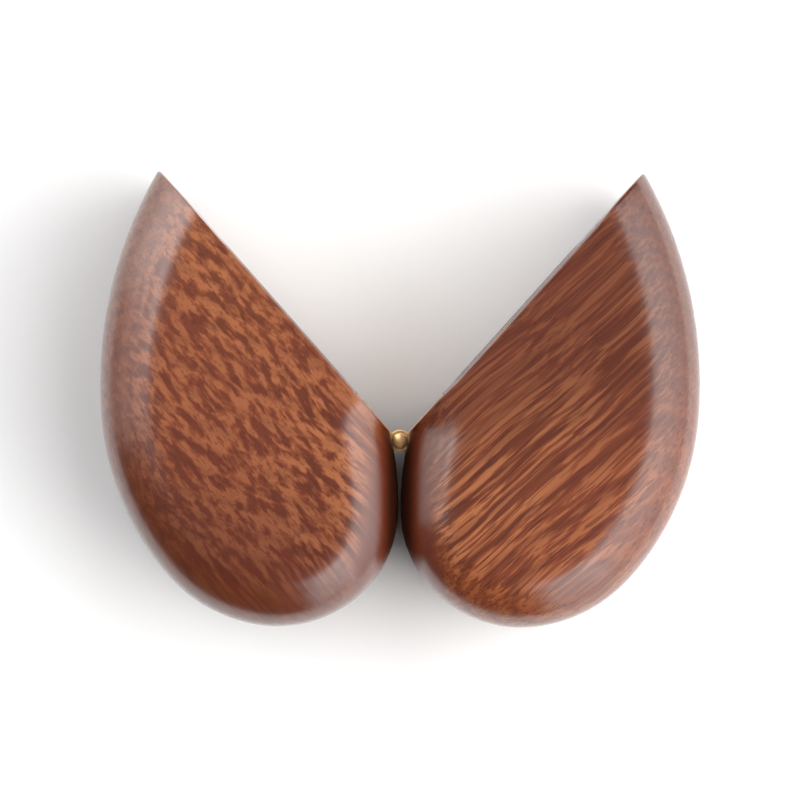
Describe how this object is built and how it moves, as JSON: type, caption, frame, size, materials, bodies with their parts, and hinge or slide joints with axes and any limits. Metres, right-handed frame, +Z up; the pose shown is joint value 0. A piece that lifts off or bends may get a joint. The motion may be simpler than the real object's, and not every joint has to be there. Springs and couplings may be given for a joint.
{
  "type": "heart-shaped ring box",
  "caption": "Heart-shaped wooden ring box split along its centre line, opened on a hinge in the cleft; one half grips a ring between velvet rolls, the other is a hollow lid.",
  "frame": {"origin": "middle of the open box's outline, on the plane that its flat backs lie on", "axes": "+Z up through the heart's thickness, +X from the lid half to the ring half, the V between the halves opens toward -Y; the hinge axis is vertical"},
  "size_m": [0.0804, 0.0612, 0.034],
  "materials": {
    "oiled_wood": "satin oiled hardwood, reddish brown, dark grain streaks along the split",
    "hinge_brass": "polished",
    "screw_brass": "polished, slotted",
    "nickel_plating": "nickel-plated magnet",
    "lining_fabric": "velvet-covered card",
    "velvet": "short-pile velvet over foam"
  },
  "bodies": {
    "ring_half": {"ring_shell": "oiled_wood", "ring_hinge_leaf": "hinge_brass", "ring_hinge_screw_back": "screw_brass", "ring_hinge_screw_front": "screw_brass", "ring_magnet_back": "nickel_plating", "ring_magnet_front": "nickel_plating", "ring_liner": "lining_fabric", "hinge_pin": "hinge_brass", "cushion_base": "velvet", "cushion_roll_front": "velvet", "cushion_roll_back": "velvet"},
    "lid_half": {"lid_shell": "oiled_wood", "lid_hinge_leaf": "hinge_brass", "lid_hinge_screw_back": "screw_brass", "lid_hinge_screw_front": "screw_brass", "lid_magnet_back": "nickel_plating", "lid_magnet_front": "nickel_plating", "lid_liner": "lining_fabric", "lid_pad": "velvet"}
  },
  "joints": [
    {"name": "lid_hinge", "type": "hinge", "parent": "ring_half", "child": "lid_half", "pos_m": [0, 0.00567, 0.017], "axis": [0, 0, 1], "range_deg": [0, 83.4]}
  ]
}
